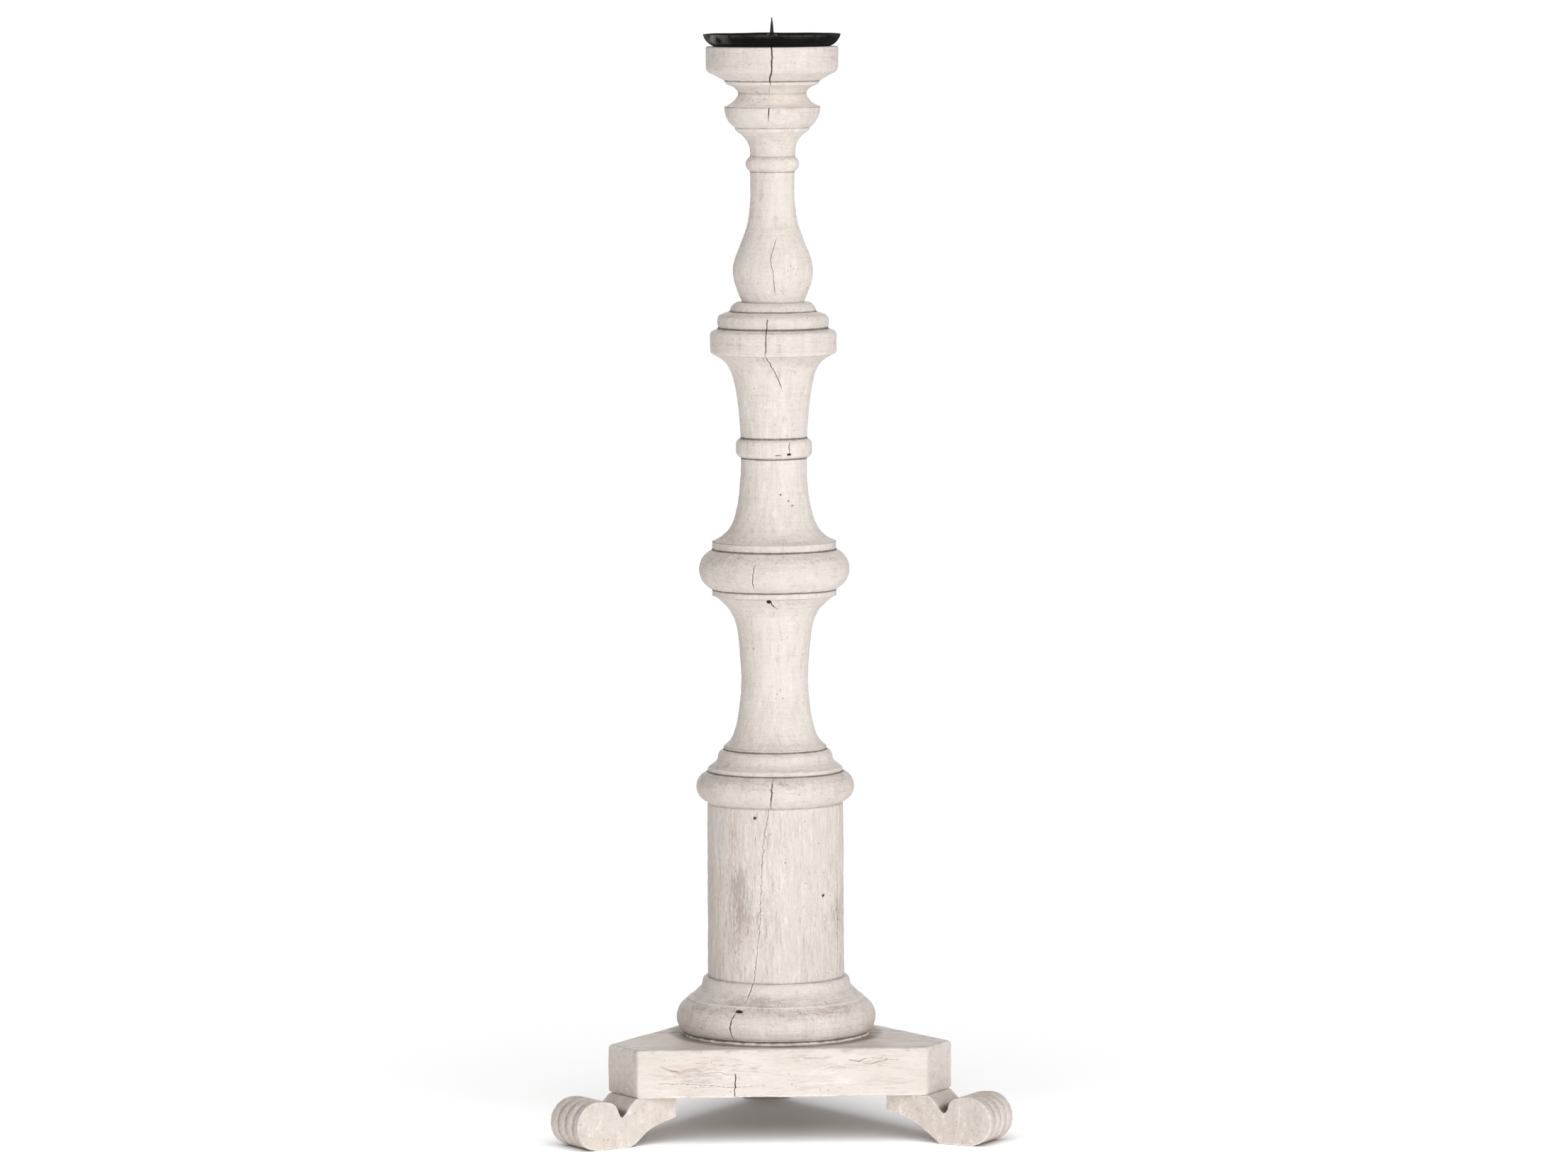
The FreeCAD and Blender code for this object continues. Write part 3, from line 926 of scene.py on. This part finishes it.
middleStemWear = {
    "seed": 5, "paint": stemPaint,
    "cracks": [
        crackAlong(
            [(-7.6, 156), (-3.6, 150), (0.8, 142), (5.0, 133), (7.9, 125)], 0.9, 0.8, lip=0.4, dark=0.7,
        ),
        crackAlong([(12.9, 84), (12.6, 72)], 0.7, 0.7),
        crackAlong([(-8.4, 160), (-8.0, 154), (-7.4, 150)], 1.3, 1.4, openTop=1.0),
    ],
    "spots": [
        hole(12.7, 73.4, 2.2, 1.0, 1.3),
        hole(3.6, 72.9, 3.2, 0.7, 0.6, 0.5),
        hole(5.5, 40.5, 1.1, 0.8, 0.7, 0.7),
        hole(12.0, 35.0, 0.9, 0.9, 0.7, 0.6),
        hole(15.4, 31.0, 1.2, 0.7, 0.7, 0.6),
    ],
    "stains": [patch(20, 106, 18, 16, 0.6),
               patch(28, 36, 24, 14, 0.9),
               patch(-58, 110, 18, 34, 0.9),
               patch(-50, 40, 18, 24, 0.7),
               patch(0, 85.5, 80, 1.8, 1.3),
               patch(10, 3, 70, 4, 0.7)],
}
middleKnopOutline = {
    "start": (51.2, 0),
    "moves": [
        ("line", (51.2, 4.8)), ("line", (51.8, 5.5)), ("arc", (62.2, 21.4), (52.4, 37.2)),
        ("line", (51.1, 37.6)), ("line", (51.1, 44.5)),
    ],
}
middleKnopWear = {
    "seed": 6, "paint": mouldedPaint,
    "cracks": [crackAlong([(-15.6, 31), (-17.8, 21.5), (-18.2, 14.5), (-15.8, 6.5)], 0.9, 1.0, dark=0.8)],
    "stains": [patch(-40, 32, 34, 8, 1.0),
               patch(35, 32, 30, 6, 0.9),
               patch(62, 14, 14, 9, 0.7)],
}
lowerStemOutline = {
    "start": (42.2, 0),
    "moves": [
        ("curve", (36.9, 5.3), (33.2, 13.0), (29.8, 28.0), (27.7, 52.8), (28.9, 77.7), (31.5, 99.7),
         (36.5, 112.2), (43.0, 119.5), (49.8, 125.2)),
    ],
}
lowerStemWear = {
    "seed": 7, "paint": stemPaint,
    "cracks": [crackAlong([(-4.8, 127), (-2.0, 120.7), (3.3, 115.7)], 1.2, 1.2, wander=0.5),
               crackAlong([(4.6, 6.2), (4.9, 3.0)], 0.8, 0.7)],
    "spots": [hole(-4.5, 123.4, 2.1, 2.0, 1.8)],
    "stains": [patch(24, 121.5, 24, 2.5, 2.0),
               patch(20, 105, 24, 12, 0.8),
               patch(-50, 50, 18, 36, 0.8),
               patch(45, 40, 16, 30, 0.5)],
}
capOutline = {
    "start": (56.0, 0),
    "moves": [
        ("line", (56.6, 1.3)), ("arc", (65.4, 13.5), (56.6, 25.8)), ("line", (55.8, 26.4)),
        ("line", (55.8, 29.3)),
        ("curve", (50.9, 32.6), (48.0, 35.6), (47.3, 38.4)), ("arc", (46.3, 41.9), (42.9, 44.3)),
        ("line", (42.3, 44.6)), ("line", (42.3, 47.0)),
    ],
}
capWear = {
    "seed": 8, "paint": mouldedPaint,
    "cracks": [crackAlong([(-2.6, 24), (-3.0, 15), (-3.7, 6), (-3.9, -1)], 1.0, 1.4)],
    "stains": [patch(-42, 20, 34, 8, 1.1),
               patch(12, 22, 24, 6, 1.1),
               patch(60, 14, 16, 8, 0.8),
               patch(-40, 38, 30, 6, 0.9)],
}
drumOutline = {
    "start": (55.8, 0),
    "moves": [("line", (56.4, 0.8)), ("line", (56.1, 143.8)), ("line", (55.3, 144.6))],
}
drumWear = {
    "seed": 9, "paint": drumPaint, "grain": 0.3, "lines": 0.0, "backStains": 9, "backCracks": 4,
    "cracks": [
        crackAlong(
            [(-5.0, 146), (-8.5, 129.3), (-10.7, 107.9), (-12.2, 75.1), (-13.8, 40.4), (-15.2, 30.2),
             (-16.8, 15.8), (-18.6, -1)], 1.0, 0.8, wander=1.3, dark=0.45, openTop=0.6,
        ),
        crackAlong([(-16.4, 124), (-17.0, 113)], 0.8, 0.5, dark=0.6),
        crackAlong([(4.5, 137), (5.0, 128)], 0.8, 0.5, dark=0.5),
    ],
    "spots": [
        hole(-17.1, 137.5, 1.7, 1.5, 1.0, 0.7),
        hole(39.3, 71.5, 1.1, 1.2, 1.2),
    ],
    "stains": [patch(-36, 69, 18, 70, 1.9),
               patch(-29, 64, 5, 38, 0.7),
               patch(-14, 50, 6, 46, 0.9),
               patch(4, 62, 10, 44, 0.5),
               patch(34, 92, 18, 30, -0.8),
               patch(30, 18, 26, 20, -0.6),
               patch(62, 60, 12, 40, 0.7),
               patch(40, 48, 12, 22, 0.5)],
}
baseOutline = {
    "start": (78.2, 0),
    "moves": [
        ("line", (78.3, 1.5)), ("line", (77.0, 2.4)),
        ("curve", (80.4, 6.2), (82.5, 14.0), (80.9, 21.5), (77.4, 26.2), (73.4, 29.2)),
        ("line", (73.0, 31.0)),
        ("line", (70.6, 31.7)), ("curve", (65.8, 36.3), (62.2, 39.8), (61.2, 43.4)),
        ("arc", (60.5, 46.1), (58.6, 48.0)),
    ],
}
baseWear = {
    "seed": 10, "paint": mouldedPaint, "bead": 2.4,
    "cracks": [
        crackAlong([(-18.4, 49), (-22.1, 40.5), (-25.8, 32.5)], 1.0, 1.0, openTop=1.0, dark=0.7),
        crackAlong([(-33.5, 26.5), (-36.6, 21.5), (-38.4, 13.5), (-36.3, 4.5)], 1.1, 1.2),
    ],
    "spots": [hole(-30.5, 27.5, 3.4, 1.4, 1.3, 0.8)],
    "stains": [patch(-44, 26, 24, 9, 1.3),
               patch(-12, 34, 20, 5, 1.5),
               patch(8, 25, 18, 6, 1.0),
               patch(42, 26, 20, 7, 1.1),
               patch(30, 12, 12, 7, 0.6),
               patch(-62, 10, 16, 9, 0.9)],
}
turnedPieces = [
    ("candle_cup", cupOutline, cupWear), ("neck_knop", neckOutline, neckWear),
    ("vase_stem", vaseOutline, vaseWear), ("stepped_collar", collarOutline, collarWear),
    ("middle_stem", middleStemOutline, middleStemWear), ("middle_knop", middleKnopOutline, middleKnopWear),
    ("lower_stem", lowerStemOutline, lowerStemWear), ("drum_cap", capOutline, capWear),
    ("drum", drumOutline, drumWear), ("base_moulding", baseOutline, baseWear),
]
for pieceName, pieceOutline, pieceWear in turnedPieces:
    makeTurned(pieceName, pieceOutline, pieceWear)


# the three-sided base plate

plateLook = {
    "edgeRound": 1.6, "fineness": 1.6, "lumps": [(0.022, 0.5), (0.12, 0.2)],
    "counterboreRadius": 14.0, "counterboreDepth": 14.0,
    # marks on the front face: side is along X and height is up from the plate's underside
    "cracks": [
        crackAlong([(-38.6, 21), (-38.9, 10), (-39.2, -1)], 1.2, 1.6, wander=0.7),
        crackAlong([(-104, 12.5), (-74.6, 11.8), (-37.3, 8.5), (-11.2, 10.9)], 0.8, 0.6, dark=0.5),
        crackAlong([(-101, 27.5), (-92, 23), (-82, 22)], 1.2, 0.8, dark=0.5),
        crackAlong([(-66, 20.5), (-52, 21.5), (-40, 18.5)], 1.0, 0.6, dark=0.4),
        crackAlong([(52, 31), (62, 29), (74, 33.5)], 1.2, 0.6, dark=0.5),
        crackAlong([(70, 26.5), (86, 30.5), (97, 30)], 1.0, 0.6, dark=0.5),
        crackAlong([(30, 22), (44, 25.5), (58, 24)], 0.9, 0.5, dark=0.35),
    ],
    "patches": [
        patch(-88, 24, 15, 5.5, 1.0),
        patch(-72, 17, 18, 5, 1.1),
        patch(-50, 24, 26, 4, 1.1),
        patch(-24, 27, 14, 5, 1.0),
        patch(-78, 9, 18, 3, 0.7),
        patch(8, 33, 34, 4, 0.9),
        patch(52, 27, 22, 6, 0.8),
        patch(80, 31, 18, 4, 1.0),
        patch(20, 8, 28, 5, 0.4),
    ],
}


def makePlate():
    low, high = (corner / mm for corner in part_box("base_plate"))
    sideDistance, cornerDistance, thickness = -low.y, high.y, high.z - low.z
    half = (cornerDistance - sideDistance / 2) / math.cos(math.radians(30))
    bm = bmesh.new()
    corners = []
    for turn in (270, 30, 150):
        for along in (-half, half):
            place = Matrix.Rotation(math.radians(turn), 3, "Z") @ Vector((sideDistance, along, 0))
            corners.append(bm.verts.new(place))
    edges = [bm.edges.new(pair) for pair in zip(corners, corners[1:] + corners[:1])]
    raised = bmesh.ops.extrude_edge_only(bm, edges=edges)["geom"]
    raised = [v for v in raised if isinstance(v, bmesh.types.BMVert)]
    bmesh.ops.translate(bm, vec=(0, 0, thickness), verts=raised)
    spinRound(bm, [
        at(socket["radius"], thickness), at(socket["radius"], thickness - socket["depth"]),
        at(socket["bore"], thickness - socket["depth"]), at(socket["bore"], plateLook["counterboreDepth"]),
        at(plateLook["counterboreRadius"], plateLook["counterboreDepth"]),
        at(plateLook["counterboreRadius"], 0),
    ], 48, closed=False)
    for level in (0.0, thickness):
        loops = [
            e for e in bm.edges if e.is_boundary and all(abs(v.co.z - level) < 0.01 for v in e.verts)
        ]
        bmesh.ops.bridge_loops(bm, edges=loops)
    bmesh.ops.recalc_face_normals(bm, faces=bm.faces)
    outer = [
        e for e in bm.edges
        if len(e.link_faces) == 2 and e.calc_face_angle() > 0.5
        and all(v.co.xy.length > 2 * plateLook["counterboreRadius"] for v in e.verts)
    ]
    bmesh.ops.bevel(
        bm, geom=outer, offset=plateLook["edgeRound"], offset_type="OFFSET", segments=3, profile=0.5,
        affect="EDGES", material=-1,
    )
    bm = withModifier(bm, "REMESH", mode="VOXEL", voxel_size=plateLook["fineness"])
    cracks = prepare(plateLook["cracks"])

    def frontFace(place):
        return place.x, place.z, -place.y - sideDistance + 4

    refineNear(bm, cracks, frontFace, 2)
    bmesh.ops.recalc_face_normals(bm, faces=bm.faces)
    bm.normal_update()
    masks = addMasks(bm)
    stains = scatterStains(31, thickness, 8)
    for v in bm.verts:
        radius = v.co.xy.length
        if radius < plateLook["counterboreRadius"] + 1.2:
            continue
        height = v.co.z
        inward = uneven(v.co, plateLook["lumps"])
        inward += 0.12 * noise.noise(Vector((v.co.x * 0.05, v.co.y * 0.5, v.co.z * 0.5)))
        chip = noise.noise(v.co * 0.21 + Vector((3, 8, 1)))
        corner = smoothStep(0.95, 0.75, max(abs(v.normal.z), abs(v.normal.y), v.normal.xy.length))
        level = max(abs(v.normal.z), v.normal.xy.length)
        rim = smoothStep(0.985, 0.9, level)
        inward += rim * (0.2 + 2.0 * max(0.0, chip - 0.05)) + corner * 0.1
        onFront = frontFace(v.co)[2] > 2 and v.normal.y < -0.5
        deep, dark, lip = cutCracks(cracks, v.co.x, height) if onFront else (0.0, 0.0, 0.0)
        stain = stainBy(v.co.x, height, plateLook["patches"]) if onFront else 0.0
        if not onFront:
            angle = math.degrees(math.atan2(v.co.dot(rightWay), v.co.dot(frontWay))) % 360
            stain = stainBy(angle, height, stains)
        # rims and crack lips get a painted highlight, and the top next to the column gets dirt and painted
        # shade
        v[masks["edge"]] = max(rim, min(1.0, 4 * lip))
        v[masks["hollow"]] = smoothStep(96, 83, radius) * 0.7 * smoothStep(0.5, 0.9, v.normal.z)
        under = 0.7 * smoothStep(0.5, 0.9, -v.normal.z)
        v[masks["ledge"]] = 1.5 * smoothStep(0.5, 0.95, v.normal.z) + under
        v[masks["crack"]] = dark
        v[masks["stain"]] = stain
        way = v.normal.copy()
        if radius < 84 and v.normal.z > 0.5:
            inward = 0.0
        v.co -= way * (inward + deep - lip)
        v.co.z = min(max(v.co.z, 0.0), thickness)
    bmesh.ops.translate(bm, vec=(0, 0, low.z), verts=bm.verts)
    finishPiece(bm, "base_plate_worn", ["base_plate"], plankPaint)


# the scrolled feet

footLook = {
    "width": 44.0, "inner": 112.0, "plateFace": 150.4, "scroll": 187.25, "scrollRadius": 20.1,
    "edgeRound": 3.0, "lumps": [(0.06, 0.5), (0.2, 0.35)], "fineness": 0.95, "toes": 4,
    "grooveDepth": 2.0, "notch": (165.0, 25.5),
    "screws": (119.0, 138.0),
    "headBottom": 24.0, "headTop": 27.0,
}
footArch = {"innerHeight": 24.5, "arch": [(127.0, 21.0), (138.5, 16.2), (152.0, 6.6), (160.5, 0.0)]}
footWear = {
    # the left foot was left thicker under its arch than the other two
    "foot_left": {
        "turn": 210, "seed": 21, "stain": 0.15, "innerHeight": 21.0,
        "arch": [(127.0, 17.2), (138.5, 12.4), (149.5, 3.8), (155.5, 0.0)],
    },
    "foot_right": {"turn": 330, "seed": 22, "stain": 0.4, **footArch},
    "foot_rear": {"turn": 90, "seed": 23, "stain": 0.4, **footArch},
}


def footBlank(top, wear):
    # side view drawn outwards along X, then given its width
    scroll, radius = footLook["scroll"], footLook["scrollRadius"]
    line = traceOutline((footLook["inner"], top), [
        ("line", (footLook["inner"], wear["innerHeight"])),
        ("curve", *wear["arch"]),
        ("line", (scroll, 0)),
        ("arc", (scroll + radius, radius), (scroll, 2 * radius)),
        ("curve", (179.0, 39.5), (170.5, 36.0), footLook["notch"]),
        ("line", (footLook["plateFace"], top)),
    ], 2.0)
    bm = bmesh.new()
    verts = [bm.verts.new(p + Vector((0, -footLook["width"] / 2, 0))) for p in line]
    side = bm.faces.new(verts)
    made = bmesh.ops.extrude_face_region(bm, geom=[side])["geom"]
    moved = [v for v in made if isinstance(v, bmesh.types.BMVert)]
    bmesh.ops.translate(bm, vec=(0, footLook["width"], 0), verts=moved)
    bmesh.ops.recalc_face_normals(bm, faces=bm.faces)
    sides = {f for f in bm.faces if abs(f.normal.y) > 0.9}
    rims = [e for e in bm.edges if len(sides & set(e.link_faces)) == 1]
    bmesh.ops.bevel(
        bm, geom=rims, offset=footLook["edgeRound"], offset_type="OFFSET", segments=3, profile=0.5,
        affect="EDGES", clamp_overlap=True, material=-1,
    )
    return withModifier(bm, "REMESH", mode="VOXEL", voxel_size=footLook["fineness"])


def screwHoles():
    # the shape taken out of a foot for its two screws
    bm = bmesh.new()
    head, top = footLook["headBottom"], footLook["headTop"]
    for distance in footLook["screws"]:
        before = set(bm.verts)
        spinRound(bm, [
            at(0, -2), at(5.0, -2), at(5.0, head), at(4.5, head), at(2.25, top), at(2.25, 45), at(0, 45),
        ], 32, closed=False)
        bmesh.ops.translate(bm, vec=(distance, 0, 0), verts=[v for v in bm.verts if v not in before])
    bmesh.ops.recalc_face_normals(bm, faces=bm.faces)
    return isolate(bm, "screwHoles")


def makeFoot(name, wear):
    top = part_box("base_plate")[0].z / mm
    bm = footBlank(top, wear)
    bmesh.ops.recalc_face_normals(bm, faces=bm.faces)
    bm.normal_update()
    masks = addMasks(bm)
    scroll, radius = footLook["scroll"], footLook["scrollRadius"]
    half, spacing = footLook["width"] / 2, footLook["width"] / footLook["toes"]
    notch = at(*footLook["notch"])
    shift = Vector((wear["seed"] * 13.7, 0, wear["seed"] * 3.3))
    for v in bm.verts:
        sample = v.co + shift
        spoke = Vector((v.co.x - scroll, 0, v.co.z - radius))
        turn = math.degrees(math.atan2(spoke.x, spoke.z))
        onBand = smoothStep(0.95, 0.6, abs(v.normal.y))
        onToes = smoothStep(-38, 5, turn) * smoothStep(178, 150, turn) * smoothStep(11, 15, spoke.length)
        across = (v.co.y + half) / spacing
        toe = min(int(across), footLook["toes"] - 1)
        groove = (1 - abs(math.sin(math.pi * across))) ** 1.4
        if abs(v.co.y) > half - 0.45 * spacing:
            groove = 0.0
        knuckle = 0.5 + 0.5 * math.sin(math.radians(2.6 * turn + 70 * toe + wear["seed"]))
        inward = onToes * onBand * (footLook["grooveDepth"] * groove + 0.3 * knuckle)
        onSide = smoothStep(0.6, 0.95, abs(v.normal.y))
        inward += (0.2 + 0.8 * onSide) * uneven(sample, footLook["lumps"]) + 0.5 * onSide
        chip = noise.noise(sample * 0.35)
        rim = smoothStep(half - 3.2, half - 1.2, abs(v.co.y)) * smoothStep(0.99, 0.9, abs(v.normal.y))
        inward += 1.1 * rim * max(0.0, chip - 0.1) + 0.5 * max(0.0, chip - 0.38)
        inNotch = smoothStep(13, 3, (at(v.co.x, v.co.z) - notch).length) * onBand
        # rims get a painted highlight; the toe grooves and the notch get dirt and painted shade
        v[masks["edge"]] = rim * 0.8
        v[masks["hollow"]] = min(1.0, onToes * groove * 0.6 + inNotch)
        v[masks["ledge"]] = onBand * (0.9 if v.co.x > footLook["plateFace"] else 0.4)
        v[masks["crack"]] = 0.0
        # the notch is darkened further here, as painted shade in the recess
        v[masks["stain"]] = wear["stain"] + 0.9 * smoothStep(5, 0.5, v.co.z) + 1.2 * inNotch
        flatTop = v.co.z > top - 0.4 and v.co.x < footLook["plateFace"]
        if flatTop or v.co.z < 0.4:
            inward = 0.0
        v.co -= v.normal * max(inward, -0.1)
        v.co.z = min(max(v.co.z, 0.0), 2 * radius)
    cutter = bpy.data.objects.new("cutter", screwHoles())
    bpy.context.scene.collection.objects.link(cutter)
    bm = withModifier(bm, "BOOLEAN", operation="DIFFERENCE", object=cutter, solver="EXACT")
    bpy.data.meshes.remove(cutter.data)
    bmesh.ops.rotate(
        bm, cent=(0, 0, 0), matrix=Matrix.Rotation(math.radians(wear["turn"]), 3, "Z"), verts=bm.verts,
    )
    finishPiece(bm, name + "_carved", [name], footPaint)


makePlate()
for pieceName, pieceWear in footWear.items():
    makeFoot(pieceName, pieceWear)


# drip pan, spike and hardware

panLook = {
    "start": (10.8, 0.8), "segments": 256,
    "moves": [
        ("line", (12.0, 0.0)), ("line", (46.5, 0.0)), ("arc", (53.4, 3.6), (56.9, 10.3)),
        ("line", (56.3, 10.5)), ("line", (55.7, 10.3)), ("arc", (52.4, 4.5), (45.9, 1.2)),
        ("line", (12.0, 1.2)), ("line", (11.4, 2.0)), ("line", (4.3, 2.0)), ("line", (4.3, 0.8)),
    ],
    "dents": [{"angle": -62, "deep": 0.7}, {"angle": 24, "deep": 0.5}, {"angle": 150, "deep": 0.8}],
}


def makePan():
    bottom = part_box("drip_pan")[0].z / mm
    bm = bmesh.new()
    line = traceOutline(panLook["start"], panLook["moves"], 1.2)
    spinRound(bm, line, panLook["segments"])
    bmesh.ops.recalc_face_normals(bm, faces=bm.faces)
    masks = addMasks(bm)
    for v in bm.verts:
        radius = v.co.xy.length
        angle = math.degrees(math.atan2(v.co.dot(rightWay), v.co.dot(frontWay)))
        wall = smoothStep(47, 56, radius)
        way = v.co.xy.normalized()
        inward = wall * (0.25 + 0.25 * noise.noise(Vector((way.x * 1.7, way.y * 1.7, 4))))
        drop = wall * (0.22 + 0.3 * noise.noise(Vector((way.x * 2.6, way.y * 2.6, 9))))
        for dent in panLook["dents"]:
            turn = (angle - dent["angle"] + 180) % 360 - 180
            inward += wall * dent["deep"] * math.exp(-((turn / 9) ** 2))
        scuff = 0.7 * math.exp(-(((angle + 66) / 18) ** 2)) * wall
        v[masks["stain"]] = scuff + 0.12 * smoothStep(56.0, 56.8, radius)
        v.co -= Vector((way.x, way.y, 0)) * inward
        v.co.z = max(0.0, v.co.z - max(0.0, drop) * smoothStep(3, 10, v.co.z))
    bmesh.ops.translate(bm, vec=(0, 0, bottom), verts=bm.verts)
    finishPiece(bm, "drip_pan_pressed", ["drip_pan"], blackIron)


def makeSpike():
    low, high = (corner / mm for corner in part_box("pricket_spike"))
    height = high.z - low.z
    line = traceOutline((4.0, 0), [
        ("line", (10.6, 0.0)), ("line", (11.0, 0.4)), ("line", (11.0, 1.8)), ("line", (7.7, 6.4)),
        ("line", (7.0, 6.8)), ("curve", (3.2, 7.8), (1.5, 9.8)), ("line", (1.1, 0.7 * height)),
        ("line", (0.35, height)), ("line", (0, height)),
    ], 0.6)
    line += [at(0, 6), at(4.0, 6)]
    bm = bmesh.new()
    spinRound(bm, line, 64)
    bmesh.ops.recalc_face_normals(bm, faces=bm.faces)
    addMasks(bm)
    for v in bm.verts:
        if v.co.z > 0.5 and v.co.xy.length > 0.2:
            v.co.xy *= 1 - 0.04 * abs(noise.noise(v.co * 0.8))
    bmesh.ops.translate(bm, vec=(0, 0, low.z), verts=bm.verts)
    finishPiece(bm, "pricket_spike_forged", ["pricket_spike"], spikeIron)


def makeNut():
    low, high = (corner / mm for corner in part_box("rod_nut"))
    across = min(high.x - low.x, high.y - low.y)
    bm = bmesh.new()
    # a round blank with its corners turned off, cut to six flats
    tall = high.z - low.z
    spinRound(bm, [
        at(4.0, 0.6), at(4.6, 0), at(6.3, 0), at(7.5, 0.8), at(7.5, tall - 0.8), at(6.3, tall),
        at(4.6, tall), at(4.0, tall - 0.6),
    ], 96)
    for v in bm.verts:
        turn = math.degrees(math.atan2(v.co.y, v.co.x)) % 60 - 30
        flat = across / 2 / math.cos(math.radians(turn))
        if v.co.xy.length > flat:
            v.co.xy *= flat / v.co.xy.length
    bmesh.ops.recalc_face_normals(bm, faces=bm.faces)
    addMasks(bm)
    bmesh.ops.translate(bm, vec=(0, 0, low.z), verts=bm.verts)
    nut = finishPiece(bm, "rod_nut_chamfered", ["rod_nut"], platedSteel)
    for face in nut.data.polygons:
        face.use_smooth = False


makePan()
makeSpike()
makeNut()
for nodeName in ("tie_rod", "rod_washer", "foot_screws"):
    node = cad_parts[nodeName]
    node.data.materials.clear()
    node.data.materials.append(platedSteel)
